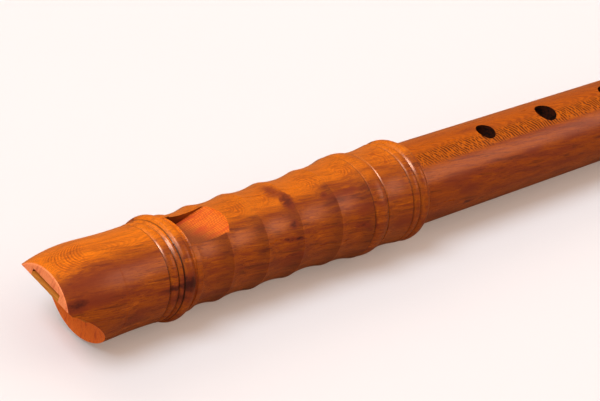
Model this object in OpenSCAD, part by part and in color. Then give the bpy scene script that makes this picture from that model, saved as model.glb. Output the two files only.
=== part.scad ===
// Soprano recorder with a wave-turned head, in two wooden joints.
// The instrument lies along X with the beak toward -X, window and finger holes up,
// resting on the plane z = 0 and centred on the origin in plan.
// Lengths marked "from the tip" are measured along the axis from the beak's end face.

/* [Overall] */
// Whole length, beak tip to foot end
total_l = 326; // [322:1:332]
// Largest radius: last bulge, head's end ring and foot ring
max_r = 13.1; // [13.1:0.1:14]
// Smoothness of the drawn curves
detail = 180; // [96:12:240]
// Straight steps in each turned hollow or bead
curve_steps = 8; // [6:2:10]

/* [Head joint] */
// Head length, tip to the end face round the body tube
head_l = 119; // [119:0.5:121]
// Radius of the beak's end
tip_r = 10.4; // [10.2:0.1:10.8]
// Largest radius of the beak barrel
beak_r = 12.23; // [12:0.01:12.5]
// From the tip to the beak barrel's fullest point
beak_full_t = 13; // [11:0.5:14]
// Radius of the beak barrel's slight waist
beak_waist_r = 11.84; // [11.7:0.01:12]
// From the tip to the end of the beak barrel
beak_l = 30.1; // [29.6:0.1:30.4]
// Bore radius of the head
head_bore_r = 6.9; // [6.7:0.05:7]
// Depth of a wave between its two crests
wave_depth = 0.57; // [0.3:0.01:0.75]
// Depth of the longer wave before the last bulge
long_wave_depth = 0.68; // [0.4:0.01:0.8]

/* [Beak scoop] */
// Radius of the hollow cut under the beak
scoop_r = 18.04; // [17.5:0.1:18.5]
// Scoop centre in front of the tip
scoop_t = -3.35; // [-4:0.05:-3]
// Scoop centre below the axis
scoop_drop = 12.53; // [12:0.05:13]
// Height of the end face's lower edge above the axis
lip_z = 5.95; // [5.6:0.05:6.2]

/* [Windway and window] */
// Width of windway, window and ramp
windway_w = 9.8; // [9:0.1:10.2]
// Height of the windway
windway_h = 0.9; // [0.7:0.05:1.1]
// Windway floor above the axis at the tip
floor_tip_z = 7; // [6.9:0.05:7.1]
// Windway floor above the axis at its exit
floor_exit_z = 6.45; // [6.3:0.05:6.6]
// From the tip to the windway's exit
windway_l = 39.2; // [38.8:0.1:39.6]
// Open length of the window, exit to ramp edge
cut_up = 4.2; // [4:0.1:4.4]
// Steepness of the ramp above its edge, degrees
ramp_a = 23.4; // [22:0.2:25]
// Length of the flat relief under the ramp edge
relief_l = 8; // [6:0.5:9]

/* [Tenon and socket] */
// Radius of the socket in the head
socket_r = 9.1; // [9:0.05:9.3]
// Depth of the socket
socket_l = 22.6; // [21:0.1:23.5]
// Length of the tenon
tenon_l = 22; // [20:0.5:22.5]
// Width of the tenon collar on each side of the cork
collar_w = 3; // [2.5:0.1:4]
// Depth of the groove the cork lies in
cork_groove = 1; // [0.8:0.1:1.2]
// Gap round moving parts
gap = 0.02; // [0.01:0.01:0.04]

/* [Body joint] */
// Tube radius next to the head
tube_r = 10.8; // [10.5:0.1:11]
// Tube radius where the foot begins
tube_end_r = 9.85; // [9.6:0.05:10.2]
// Bore radius at the tenon
bore_top_r = 6.8; // [6.4:0.05:6.9]
// Bore radius at the foot
bore_foot_r = 5.4; // [5:0.05:5.8]
// Length of the plain cylindrical bore in the foot
bore_foot_l = 18; // [14:0.5:22]
// Drift of the finger holes to the far side
hole_y = 0.25; // [0:0.05:0.4]
// From the tip to finger hole 1
hole_1_t = 148.7; // [147:0.1:150]
// Step from hole 1 to hole 2
step_12 = 24; // [23:0.1:24.5]
// Step from hole 2 to hole 3
step_23 = 26.4; // [25.5:0.1:27]
// Step from hole 3 to hole 4
step_34 = 26.9; // [26:0.1:28]
// Step from hole 4 to hole 5, and from 5 to 6
step_456 = 22; // [21.5:0.1:22.5]
// Step from hole 6 to hole 7
step_67 = 19.4; // [18.5:0.1:20]
// Diameter of hole 1
hole_1_d = 5.5; // [5:0.1:5.8]
// Diameter of holes 2 and 3
hole_23_d = 6.2; // [5.8:0.1:6.4]
// Diameter of holes 4 and 5
hole_45_d = 5.8; // [5.4:0.1:6.2]
// Diameter of the wider hole of each pair
pair_wide_d = 3.8; // [3.4:0.1:4]
// Diameter of the narrower hole of each pair
pair_slim_d = 3; // [2.6:0.1:3.2]
// Sideways turn of pair 7 toward the little finger, degrees
pair_7_a = 14; // [8:1:18]
// Diameter of the thumb hole
thumb_d = 5.6; // [5.2:0.1:6]
// Thumb hole ahead of hole 1
thumb_step = 8; // [7:0.5:9]
// Length of the turned foot
foot_l = 27; // [26.5:0.5:28]

/* [Shown piece] */
// Piece to draw

/* [Hidden] */
$fn = detail;
big = 40;
axis_z = max_r;
plum = [0.62, 0.28, 0.12];
plum_pale = [0.66, 0.31, 0.14];
cedar = [0.76, 0.47, 0.22];
cork = [0.72, 0.55, 0.36];

// turned stations of the head, from the tip
bead_1_t = beak_l + 0.65;
bead_2_t = beak_l + 3.55;
ring_1_t = beak_l + 5;
cove_1_t = ring_1_t + 2.2;
fillet_1_t = cove_1_t + 1.7;
wave_0_t = fillet_1_t + 1.7;
wave_1_t = 50.8;
wave_2_t = 62.5;
wave_3_t = 74.3;
wave_4_t = 87.5;
bulge_t = 98.2;
barrel_t = 103.85;
twin_t = 112.4;
end_ring_t = 115.65;
end_cove_t = head_l - 0.8;

// radii of the turned stations
wave_0_r = 11.7;
wave_1_r = 11.86;
wave_2_r = 11.92;
wave_3_r = 11.98;
wave_4_r = 12.14;
bulge_r = 12.97;
bead_low_r = 12.7;
barrel_r = 12.55;
groove_r = 12.2;
ring_1_r = 12.65;
end_r = 12.35;

// full part of the beak barrel and the waist that follows it
beak_curve_r = (beak_full_t ^ 2 + (beak_r - tip_r) ^ 2) / (2 * (beak_r - tip_r));
waist_curve_r = 150;
waist_t = 26;
beak_join_t = beak_full_t + 3.64;

// windway, window and ramp
roof_tip_z = floor_tip_z + windway_h;
roof_exit_z = floor_exit_z + windway_h;
edge_t = windway_l + cut_up;
edge_z = head_bore_r + 0.05;
ramp_run = 16;
ramp_rise = ramp_run * tan(ramp_a);

// tenon, socket and cork
tenon_t = head_l - tenon_l;
socket_t = head_l - socket_l;
collar_r = socket_r - 0.06;
cork_in_r = collar_r - cork_groove;
cork_t = tenon_t + collar_w;
cork_l = tenon_l - 2 * collar_w;

// body and foot
foot_t = total_l - foot_l;
hole_2_t = hole_1_t + step_12;
hole_3_t = hole_2_t + step_23;
hole_4_t = hole_3_t + step_34;
hole_5_t = hole_4_t + step_456;
hole_6_t = hole_5_t + step_456;
hole_7_t = hole_6_t + step_67;
thumb_t = hole_1_t - thumb_step;
pair_y = (pair_wide_d + pair_slim_d) / 4 + 0.5;

// ---------- placing ----------

// from the instrument's own line (tip at 0, axis on X) to the resting place
module placed() {
  translate([-total_l / 2, 0, axis_z]) children();
}

// a turned solid: 2D profile drawn as [radius, distance from the tip]
module turned() {
  rotate([0, 90, 0]) rotate_extrude() children();
}

// a plain cylinder along the axis
module rod(t, l, r) {
  translate([t, 0, 0]) rotate([0, 90, 0]) cylinder(h = l, r = r);
}

// a shape drawn as [distance from the tip, height] pushed through the windway's width
module across(w) {
  translate([0, w / 2, 0]) rotate([90, 0, 0]) linear_extrude(height = w) children();
}

// ---------- turned mouldings, as 2D profiles ----------

// all radii between two stations
module slab(t0, t1) {
  translate([0, t0]) square([big, t1 - t0]);
}

// solid below a straight line from [r0, t0] to [r1, t1]
module taper(t0, r0, t1, r1) {
  polygon([[0, t0], [r0, t0], [r1, t1], [0, t1]]);
}

// stations along a shallow curve between two arrises, bowed by h at the middle
function curve(t0, r0, t1, r1, h) = [
  for (i = [0:curve_steps])
    let (u = i / curve_steps) [r0 + (r1 - r0) * u + 4 * h * u * (1 - u), t0 + (t1 - t0) * u]
];

// hollow moulding between two arrises
module scallop(t0, r0, t1, r1, h) {
  polygon(concat([[0, t0]], curve(t0, r0, t1, r1, -h), [[0, t1]]));
}

// rounded moulding between two quirks
module bead(t0, r0, t1, r1, h) {
  polygon(concat([[0, t0]], curve(t0, r0, t1, r1, h), [[0, t1]]));
}

// V-groove from [r0, t0] steeply down to r and up to [r1, t1]
module vee(t0, r0, t1, r1, r) {
  polygon([[0, t0], [r0, t0], [r, t0 + 0.26 * (t1 - t0)], [r1, t1], [0, t1]]);
}

// beak barrel: a full rounded part and a long slight waist
module beak_profile() {
  intersection() {
    slab(0, beak_join_t);
    translate([beak_r - beak_curve_r, beak_full_t]) circle(r = beak_curve_r);
  }
  difference() {
    translate([0, beak_join_t]) square([beak_r, beak_l - beak_join_t]);
    translate([beak_waist_r + waist_curve_r, waist_t]) circle(r = waist_curve_r, $fn = 4 * detail);
  }
}

// two beads, ring, cove and fillet between the beak and the waves
module upper_rings() {
  vee(beak_l, 11.9, bead_1_t, 11.65, 11.35);
  bead(bead_1_t, 11.65, bead_2_t - 0.55, 11.75, 0.33);
  vee(bead_2_t - 0.55, 11.75, bead_2_t, 11.95, 11.3);
  bead(bead_2_t, 11.95, ring_1_t - 0.6, 12.1, 0.12);
  vee(ring_1_t - 0.6, 12.1, ring_1_t, ring_1_r, 11.8);
  bead(ring_1_t, ring_1_r, cove_1_t, ring_1_r, 0.33);
  scallop(cove_1_t, ring_1_r, fillet_1_t, 11.75, 0.3);
  taper(fillet_1_t, 11.97, wave_0_t, 11.97);
}

// five waves, each hollow between two crests
module waves() {
  scallop(wave_0_t, wave_0_r, wave_1_t, wave_1_r, wave_depth);
  scallop(wave_1_t, wave_1_r, wave_2_t, wave_2_r, wave_depth);
  scallop(wave_2_t, wave_2_r, wave_3_t, wave_3_r, wave_depth);
  scallop(wave_3_t, wave_3_r, wave_4_t, wave_4_r, long_wave_depth);
  scallop(wave_4_t, wave_4_r, bulge_t, bulge_r, 0.5);
}

// last bulge, barrel, twin grooves and end ring
module lower_rings() {
  vee(bulge_t, bulge_r, bulge_t + 0.65, bead_low_r, 12.4);
  bead(bulge_t + 0.65, bead_low_r, barrel_t - 0.65, bead_low_r, max_r - bead_low_r);
  vee(barrel_t - 0.65, bead_low_r, barrel_t, barrel_r, 12.1);
  scallop(barrel_t, barrel_r, twin_t, barrel_r + 0.1, 0.3);
  vee(twin_t, barrel_r + 0.1, twin_t + 0.65, 12.6, groove_r);
  bead(twin_t + 0.65, 12.6, end_ring_t - 0.65, 12.6, 0.22);
  vee(end_ring_t - 0.65, 12.6, end_ring_t, 12.65, groove_r - 0.05);
  bead(end_ring_t, 12.65, end_cove_t, 12.65, max_r - 12.65);
  taper(end_cove_t, end_r, head_l, end_r);
}

// turned foot: fillet, flare, ring, hollow and rounded end
module foot_profile() {
  taper(foot_t, 10.55, foot_t + 1.1, 10.55);
  scallop(foot_t + 1.1, 10.2, foot_t + 12.4, 12.6, 0.95);
  vee(foot_t + 12.4, 12.6, foot_t + 13.4, 12.6, 12.05);
  bead(foot_t + 13.4, 12.6, foot_t + 17.6, 12.6, max_r - 12.6);
  vee(foot_t + 17.6, 12.6, foot_t + 18.6, 12.5, 12.05);
  scallop(foot_t + 18.6, 12.5, total_l - 2.2, 12.3, 0.35);
  bead(total_l - 2.2, 12.3, total_l, 11.5, 0.2);
}

// ---------- cutters ----------

// hollow cut under the beak, with the small bevel at the lip
module scoop() {
  across(2 * big) {
    translate([scoop_t, -scoop_drop]) circle(r = scoop_r);
    polygon([[-1, lip_z + 0.95], [0, lip_z], [1.05, 5], [1.05, 0], [-1, 0]]);
  }
}

// space above the windway floor, with the bevel at its exit
module above_floor() {
  across(big) polygon([
    [-1, floor_tip_z + 0.014],
    [windway_l - 1, floor_exit_z + 0.014],
    [windway_l + 1, floor_exit_z - 2],
    [windway_l + 1, big],
    [-1, big]
  ]);
}

// windway slot, window, ramp and the relief below the ramp edge, as one side outline
module voicing() {
  across(windway_w) polygon([
    [-1, 4],
    [edge_t + relief_l, 4],
    [edge_t + relief_l, 5.6],
    [edge_t, edge_z],
    [edge_t + ramp_run, edge_z + ramp_rise],
    [edge_t + ramp_run, big],
    [windway_l, big],
    [windway_l, roof_exit_z + 0.8],
    [windway_l - 0.8, roof_exit_z],
    [-1, roof_tip_z]
  ]);
}

// one finger hole through the wall, looking up
module finger_hole(t, d) {
  translate([t, 0, 0]) cylinder(h = big, r = d / 2);
}

// two small holes side by side
module hole_pair(t) {
  translate([0, -pair_y, 0]) finger_hole(t, pair_wide_d);
  translate([0, pair_y + 0.3, 0]) finger_hole(t, pair_slim_d);
}

// ---------- pieces ----------

// head: mouthpiece, window and wave-turned barrel in one piece of wood
module head_joint() {
  color(plum)
    placed() difference() {
      turned() {
        beak_profile();
        upper_rings();
        waves();
        lower_rings();
      }
      rod(-1, head_l + 2, head_bore_r);
      rod(socket_t, socket_l + 1, socket_r);
      voicing();
      scoop();
    }
}

// cedar block filling the beak's bore and flooring the windway
module block() {
  color(cedar)
    placed() difference() {
      union() {
        rod(0, windway_l, head_bore_r - gap);
        translate([0, gap - windway_w / 2, 0]) cube([windway_l, windway_w - 2 * gap, floor_tip_z + 1]);
      }
      above_floor();
      scoop();
    }
}

// cork lapping lying in the tenon's groove
module tenon_cork() {
  color(cork)
    placed() difference() {
      rod(cork_t + gap, cork_l - 2 * gap, socket_r - gap);
      rod(cork_t - 1, cork_l + 2, cork_in_r + gap);
    }
}

// body tube with its tenon, finger holes, thumb hole and turned foot
module body_joint() {
  color(plum_pale)
    placed() difference() {
      union() {
        rod(tenon_t, tenon_l, collar_r);
        turned() {
          taper(head_l, tube_r, foot_t, tube_end_r);
          foot_profile();
        }
      }
      difference() {
        rod(cork_t, cork_l, socket_r + 1);
        rod(cork_t - 1, cork_l + 2, cork_in_r);
      }
      turned() taper(tenon_t - 0.01, bore_top_r, total_l - bore_foot_l, bore_foot_r);
      rod(total_l - bore_foot_l - 0.5, bore_foot_l + 1, bore_foot_r);
      translate([0, hole_y, 0]) {
        finger_hole(hole_1_t, hole_1_d);
        finger_hole(hole_2_t, hole_23_d);
        finger_hole(hole_3_t, hole_23_d);
        finger_hole(hole_4_t, hole_45_d);
        finger_hole(hole_5_t, hole_45_d);
      }
      hole_pair(hole_6_t);
      rotate([pair_7_a, 0, 0]) hole_pair(hole_7_t);
      mirror([0, 0, 1]) finger_hole(thumb_t, thumb_d);
    }
}

head_joint();
block();
tenon_cork();
body_joint();
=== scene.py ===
"""Soprano recorder with a wave-turned head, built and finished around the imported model.

The instrument lies along X, beak toward -X, window and finger holes up. Sizes in the classes are in
millimetres; "from the tip" is measured along the axis from the beak's end face.
"""

import logging
import math
from dataclasses import dataclass, field
from enum import Enum

import bpy
from mathutils import Matrix, Vector


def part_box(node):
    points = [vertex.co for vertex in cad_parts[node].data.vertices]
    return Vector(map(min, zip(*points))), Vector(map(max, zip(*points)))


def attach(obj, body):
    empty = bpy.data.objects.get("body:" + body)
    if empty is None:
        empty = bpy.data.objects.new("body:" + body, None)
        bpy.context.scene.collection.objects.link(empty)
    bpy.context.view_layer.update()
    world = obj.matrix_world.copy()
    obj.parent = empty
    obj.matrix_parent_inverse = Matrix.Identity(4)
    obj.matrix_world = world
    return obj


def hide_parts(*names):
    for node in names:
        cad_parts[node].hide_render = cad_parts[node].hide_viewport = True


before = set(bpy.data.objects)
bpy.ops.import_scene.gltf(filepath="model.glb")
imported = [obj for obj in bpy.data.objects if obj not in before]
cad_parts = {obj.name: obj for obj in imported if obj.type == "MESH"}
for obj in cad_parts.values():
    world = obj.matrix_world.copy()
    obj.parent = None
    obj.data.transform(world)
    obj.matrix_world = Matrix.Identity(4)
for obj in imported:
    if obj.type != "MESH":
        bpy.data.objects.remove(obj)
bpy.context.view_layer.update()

log = logging.getLogger("recorder")

MM = 0.001
AXIS_Z = 13.1
TOTAL_L = 326.0
HEAD_L = 119.0
WELD = 1e-3 * MM  # points nearer than this are one
BIT_L = 20.0  # length of a drill bit
SIDES = 160  # steps round a turned joint
SMOOTH = 38.0  # edges sharper than this stay crisp, in degrees
TO_DEGREES = 57.3

Station = tuple[float, float]
Triple = tuple[float, float, float]
Rgb = Triple
Socket = bpy.types.NodeSocket
Piece = bpy.types.Object


class Wood(Enum):
    """The billets that the two joints are turned from."""

    HEAD = "head"
    BODY = "body"


def point(t: float, y: float, z: float) -> Vector:
    """A place given from the tip, across and above the axis in mm, in the frame in metres.

    Args:
        t: Distance from the tip.
        y: Distance to the far side of the axis.
        z: Height above the axis.

    Returns:
        The point in metres.
    """
    return Vector(((t - TOTAL_L / 2) * MM, y * MM, (z + AXIS_Z) * MM))


def seat(face: bpy.types.MeshPolygon) -> Triple:
    """A face's middle in mm, from the tip, across and above the axis."""
    return face.center.x / MM + TOTAL_L / 2, face.center.y / MM, face.center.z / MM - AXIS_Z


def tone(red: int, green: int, blue: int) -> Rgb:
    """A display colour, 0 to 255 a channel, as the linear colour that shaders take.

    Args:
        red: Red channel.
        green: Green channel.
        blue: Blue channel.

    Returns:
        The linear colour.
    """

    def lin(channel: int) -> float:
        """One channel made linear."""
        c = channel / 255
        return c / 12.92 if c <= 0.04045 else ((c + 0.055) / 1.055) ** 2.4

    return lin(red), lin(green), lin(blue)


# ---------- the turner's template ----------


@dataclass
class Template:
    """The outline of a turned piece, as stations [from the tip, radius] in mm.

    Attributes:
        stations: The stations so far.
        pitch: Spacing of the fine stations along the outline.
        ease: How far an arris is rubbed down.
        slack: How far a coarser outline may leave the fine one.
        stride: Longest step between two stations.
        bow_step: Spacing of the stations along a bowed part.
        vee_share: How far along a V-groove its bottom lies, 0 to 1.
    """

    stations: list[Station]
    pitch: float = 0.045
    ease: float = 0.05
    slack: float = 0.0014
    stride: float = 1.6
    bow_step: float = 0.12
    vee_share: float = 0.26

    def to(self, *targets: Station) -> "Template":
        """Straight on to each station in turn."""
        self.stations += targets
        return self

    def bowed(self, t: float, r: float, bow: float) -> "Template":
        """A shallow curve to a station.

        Args:
            t: Station's distance from the tip.
            r: Station's radius.
            bow: Height of the curve's middle over its chord, below 0 for a hollow.

        Returns:
            The template.
        """
        t0, r0 = self.stations[-1]
        steps = max(8, round(abs(t - t0) / self.bow_step))
        for i in range(1, steps + 1):
            u = i / steps
            self.stations.append((t0 + (t - t0) * u, r0 + (r - r0) * u + 4 * bow * u * (1 - u)))
        return self

    def vee(self, t: float, r: float, bottom: float) -> "Template":
        """A V-groove to a station, steep on its tip side, with its bottom at the radius given."""
        start = self.stations[-1][0]
        return self.to((start + self.vee_share * (t - start), bottom), (t, r))

    def fine(self) -> list[Vector]:
        """The outline in even, fine steps, with its arrises rubbed down.

        Returns:
            The stations as 2D vectors.
        """
        path: list[Vector] = []
        ends = [Vector(s) for s in self.stations]
        for a, b in zip(ends, ends[1:]):
            count = max(1, round((b - a).length / self.pitch))
            path += [a.lerp(b, i / count) for i in range(count)]
        path.append(ends[-1])
        for _ in range(round(2 * (self.ease / self.pitch) ** 2)):
            inner = [(p + 2 * q + r) / 4 for p, q, r in zip(path, path[1:], path[2:])]
            path = [path[0], *inner, path[-1]]
        return path

    def outline(self) -> list[Vector]:
        """The fine outline thinned to the stations that hold its shape.

        Returns:
            The stations as 2D vectors.
        """
        path = self.fine()
        kept = {0, len(path) - 1}
        spans = [(0, len(path) - 1)]
        while spans:
            low, high = spans.pop()
            if high - low < 2:
                continue
            a, b = path[low], path[high]
            chord = b - a
            along = chord.normalized() if chord.length > 1e-9 else Vector((1, 0))
            off, worst = max((abs(along.cross(path[i] - a)), i) for i in range(low + 1, high))
            if off > self.slack:
                middle = worst
            elif chord.length > self.stride:
                middle = (low + high) // 2
            else:
                continue
            kept.add(middle)
            spans += [(low, middle), (middle, high)]
        return [path[i] for i in sorted(kept)]


# ---------- bench work ----------


def lay_aside() -> None:
    """Nothing stays selected, and object mode is on."""
    if bpy.context.object and bpy.context.object.mode != "OBJECT":
        bpy.ops.object.mode_set(mode="OBJECT")
    bpy.ops.object.select_all(action="DESELECT")


def take_up(obj: Piece) -> None:
    """Only this object is selected and active."""
    lay_aside()
    obj.select_set(True)
    bpy.context.view_layer.objects.active = obj


def trace(name: str, points: list[Vector]) -> Piece:
    """A chain of edges through the points, drawn by extruding one vertex, left in edit mode.

    Args:
        name: Name of the new object.
        points: The points in metres.

    Returns:
        The new object.
    """
    lay_aside()
    bpy.ops.mesh.primitive_plane_add(size=MM, location=(0, 0, 0))
    obj = bpy.context.object
    obj.name = name
    bpy.ops.object.mode_set(mode="EDIT")
    bpy.ops.mesh.merge(type="CENTER")
    bpy.ops.transform.translate(value=points[0])
    for a, b in zip(points, points[1:]):
        bpy.ops.mesh.extrude_vertices_move(TRANSFORM_OT_translate={"value": b - a})
    bpy.ops.mesh.select_all(action="SELECT")
    return obj


def spin(name: str, outline: list[Vector], steps: int) -> Piece:
    """A closed outline spun round the instrument's axis.

    Args:
        name: Name of the new object.
        outline: Stations [from the tip, radius] in mm, first and last joined.
        steps: Steps round the axis.

    Returns:
        The solid.
    """
    obj = trace(name, [point(s.x, 0, s.y) for s in [*outline, outline[0]]])
    bpy.ops.mesh.remove_doubles(threshold=WELD)
    bpy.ops.mesh.select_all(action="SELECT")
    bpy.ops.mesh.spin(
        steps=steps,
        dupli=False,
        use_auto_merge=True,
        angle=2 * math.pi,
        center=(0, 0, AXIS_Z * MM),
        axis=(1, 0, 0),
    )
    bpy.ops.mesh.select_all(action="SELECT")
    bpy.ops.mesh.remove_doubles(threshold=WELD)
    bpy.ops.mesh.normals_make_consistent(inside=False)
    return settled(obj)


def pushed(name: str, side: list[Station], width: float) -> Piece:
    """A side view [from the tip, height] pushed through the instrument's width.

    Args:
        name: Name of the new object.
        side: Corners in mm.
        width: Whole width across the axis in mm.

    Returns:
        The prism.
    """
    obj = trace(name, [point(t, -width / 2, z) for t, z in side])
    bpy.ops.mesh.edge_face_add()
    bpy.ops.mesh.extrude_region_move(TRANSFORM_OT_translate={"value": (0, width * MM, 0)})
    bpy.ops.mesh.select_all(action="SELECT")
    bpy.ops.mesh.normals_make_consistent(inside=False)
    return settled(obj)


def drill(
    name: str, t: float, side: float, radius: float, turn: float, down: bool = False
) -> Piece:
    """A drill bit standing through the wall of the tube.

    Args:
        name: Name of the new object.
        t: Distance from the tip in mm.
        side: Shift across the tube in mm.
        radius: Radius of the bit in mm.
        turn: Turn round the instrument's axis in degrees.
        down: True for a hole on the underside.

    Returns:
        The bit.
    """
    lay_aside()
    bpy.ops.mesh.primitive_cylinder_add(
        vertices=72,
        radius=radius * MM,
        depth=BIT_L * MM,
        location=point(t, side, (-1 if down else 1) * BIT_L / 2),
    )
    obj = bpy.context.object
    obj.name = name
    bpy.ops.object.transform_apply(location=True, rotation=True, scale=True)
    hub = Matrix.Translation((0, 0, AXIS_Z * MM))
    obj.data.transform(hub @ Matrix.Rotation(math.radians(turn), 4, "X") @ hub.inverted())
    return obj


def settled(obj: Piece) -> Piece:
    """Back in object mode, with the object's own place moved into its mesh.

    Args:
        obj: The object in work.

    Returns:
        The same object.
    """
    take_up(obj)
    bpy.ops.object.transform_apply(location=True, rotation=True, scale=True)
    return obj


def joined_by(obj: Piece, tool: Piece, operation: str) -> None:
    """The piece cut or filled by a tool solid, which is used up.

    Args:
        obj: The piece.
        tool: The solid that cuts or is added.
        operation: DIFFERENCE or UNION.
    """
    take_up(obj)
    step = obj.modifiers.new("shape", "BOOLEAN")
    step.operation, step.solver, step.object = operation, "EXACT", tool
    bpy.ops.object.modifier_apply(modifier=step.name)
    bpy.data.objects.remove(tool)


def dressed(obj: Piece, finishes: tuple, angle: float = SMOOTH) -> None:
    """Smooth shading and the finishes on a piece.

    Args:
        obj: The piece.
        finishes: Its finishes, in the order of its material slots.
        angle: Edges sharper than this stay crisp, in degrees.
    """
    take_up(obj)
    bpy.ops.object.shade_smooth_by_angle(angle=math.radians(angle))
    obj.data.materials.clear()
    for finish in finishes:
        obj.data.materials.append(finish.material())


# ---------- nodes ----------


class Nodes:
    """Short ways to lay out the nodes of one tree."""

    def __init__(self, tree: bpy.types.NodeTree) -> None:
        """Work on a tree."""
        self.tree = tree

    def add(self, kind: str, **settings: object) -> bpy.types.Node:
        """A new node with its settings."""
        node = self.tree.nodes.new(kind)
        for key, value in settings.items():
            setattr(node, key, value)
        return node

    def feed(self, socket: Socket, value: object) -> None:
        """Links or sets one input."""
        if isinstance(value, Socket):
            self.tree.links.new(value, socket)
        elif isinstance(value, tuple) and len(value) == 3 and socket.type == "RGBA":
            socket.default_value = (*value, 1.0)
        else:
            socket.default_value = value

    def sum(self, operation: str, *values: object) -> Socket:
        """A Math node.

        Args:
            operation: Name of the operation.
            *values: Its inputs, each a socket or a number.

        Returns:
            The result.
        """
        node = self.add("ShaderNodeMath", operation=operation)
        for socket, value in zip(node.inputs, values):
            self.feed(socket, value)
        return node.outputs[0]

    def times(self, first: object, second: object) -> Socket:
        """The product of two values."""
        return self.sum("MULTIPLY", first, second)

    def line(self, value: object, slope: object, start: object) -> Socket:
        """The value times the slope, plus the start."""
        return self.sum("MULTIPLY_ADD", value, slope, start)

    def most(self, first: object, second: object) -> Socket:
        """The larger of two values."""
        return self.sum("MAXIMUM", first, second)

    def middled(self, noise: object) -> Socket:
        """A noise moved to lie about 0."""
        return self.sum("SUBTRACT", noise, 0.5)

    def ripple(self, value: object, spacing: float, low: float, high: float) -> Socket:
        """Even lines across a value.

        Args:
            value: What the lines run across, in mm.
            spacing: From one line to the next in mm.
            low: Where a line's edge starts on the wave from -1 to 1.
            high: Where that edge ends.

        Returns:
            0 between the lines to 1 on them.
        """
        return self.ease(self.sum("SINE", self.times(value, 2 * math.pi / spacing)), low, high)

    def vec(self, operation: str, *values: object) -> Socket:
        """A Vector Math node on sockets or triples, and its vector."""
        node = self.add("ShaderNodeVectorMath", operation=operation)
        for socket, value in zip(node.inputs, values):
            self.feed(socket, value)
        return node.outputs["Vector"]

    def noise(
        self, place: Socket, stretch: Triple, detail: float, rough: float, shift: Triple = (0, 0, 0)
    ) -> Socket:
        """Noise in cells of the given size.

        Args:
            place: Place in mm.
            stretch: Size of a cell along each axis in mm.
            detail: Octaves.
            rough: Strength of the finer octaves.
            shift: Move of the pattern, in cells.

        Returns:
            The noise, about 0.5.
        """
        cell = self.vec("MULTIPLY_ADD", place, tuple(1 / s for s in stretch), shift)
        node = self.add("ShaderNodeTexNoise", noise_dimensions="3D")
        self.feed(node.inputs["Vector"], cell)
        node.inputs["Scale"].default_value = 1.0
        node.inputs["Detail"].default_value = detail
        node.inputs["Roughness"].default_value = rough
        return node.outputs["Fac"]

    def ease(
        self, value: object, low: float, high: float, out_low: float = 0, out_high: float = 1
    ) -> Socket:
        """A smooth step from low to high.

        Args:
            value: What is measured.
            low: Where the step starts.
            high: Where it ends.
            out_low: Result before it.
            out_high: Result after it.

        Returns:
            The result.
        """
        node = self.add("ShaderNodeMapRange", interpolation_type="SMOOTHSTEP", clamp=True)
        for socket, v in zip(node.inputs, (value, low, high, out_low, out_high)):
            self.feed(socket, v)
        return node.outputs["Result"]

    def mix(self, amount: object, first: object, second: object) -> Socket:
        """Two colours mixed.

        Args:
            amount: Share of the second.
            first: First colour.
            second: Second colour.

        Returns:
            The colour.
        """
        node = self.add("ShaderNodeMix", data_type="RGBA", blend_type="MIX", clamp_factor=True)
        for socket, v in zip((node.inputs[0], node.inputs[6], node.inputs[7]), (amount, first, second)):
            self.feed(socket, v)
        return node.outputs[2]

    def split(self, vector: Socket) -> tuple:
        """The three parts of a vector."""
        node = self.add("ShaderNodeSeparateXYZ")
        self.feed(node.inputs[0], vector)
        return tuple(node.outputs)


class Bench(Nodes):
    """The nodes of one material."""

    def __init__(self, name: str) -> None:
        """A new material with an empty shader and its output."""
        self.material = bpy.data.materials.new(name)
        self.material.use_nodes = True
        super().__init__(self.material.node_tree)
        self.tree.nodes.clear()
        self.colour: object = (0.0, 0.0, 0.0)
        self.shader = self.add("ShaderNodeBsdfPrincipled")
        out = self.add("ShaderNodeOutputMaterial")
        self.tree.links.new(self.shader.outputs["BSDF"], out.inputs["Surface"])

    def place(self) -> Socket:
        """The place on the piece in mm, measured from the tip and from the axis."""
        coords = self.add("ShaderNodeTexCoord").outputs["Object"]
        origin = (TOTAL_L / 2, 0, -AXIS_Z)
        return self.vec("MULTIPLY_ADD", coords, (1000.0, 1000.0, 1000.0), origin)

    def bump(self, height: object, depth: float) -> None:
        """A height in units of depth, in mm, on the shader's normal."""
        node = self.add("ShaderNodeBump")
        self.feed(node.inputs["Height"], height)
        node.inputs["Distance"].default_value = depth * MM
        node.inputs["Strength"].default_value = 1.0
        self.feed(self.shader.inputs["Normal"], node.outputs["Normal"])

    def coat(self, over: Rgb, *amounts: object) -> None:
        """Another colour over the one so far.

        Args:
            over: The colour.
            *amounts: How strong it is, as one value or two that are multiplied.
        """
        amount = self.times(*amounts) if len(amounts) == 2 else amounts[0]
        self.colour = self.mix(amount, self.colour, over)

    def finish(self, roughness: object, **fixed: float) -> bpy.types.Material:
        """Feeds the shader with the colour so far.

        Args:
            roughness: Roughness.
            **fixed: Shader sockets with one value all over, spaces written as underscores.

        Returns:
            The material.
        """
        self.feed(self.shader.inputs["Base Color"], self.colour)
        self.feed(self.shader.inputs["Roughness"], roughness)
        for key, value in fixed.items():
            self.shader.inputs[key.replace("_", " ")].default_value = value
        return self.material


@dataclass(frozen=True)
class Knot:
    """A dark mark in the wood.

    Attributes:
        t: Distance from the tip in mm.
        turn: Angle from the top toward the near side in degrees.
        length: Half length along the grain in mm.
        width: Half width across the grain in mm.
        depth: How dark it is, 0 to 1.
    """

    t: float
    turn: float
    length: float
    width: float
    depth: float


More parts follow.
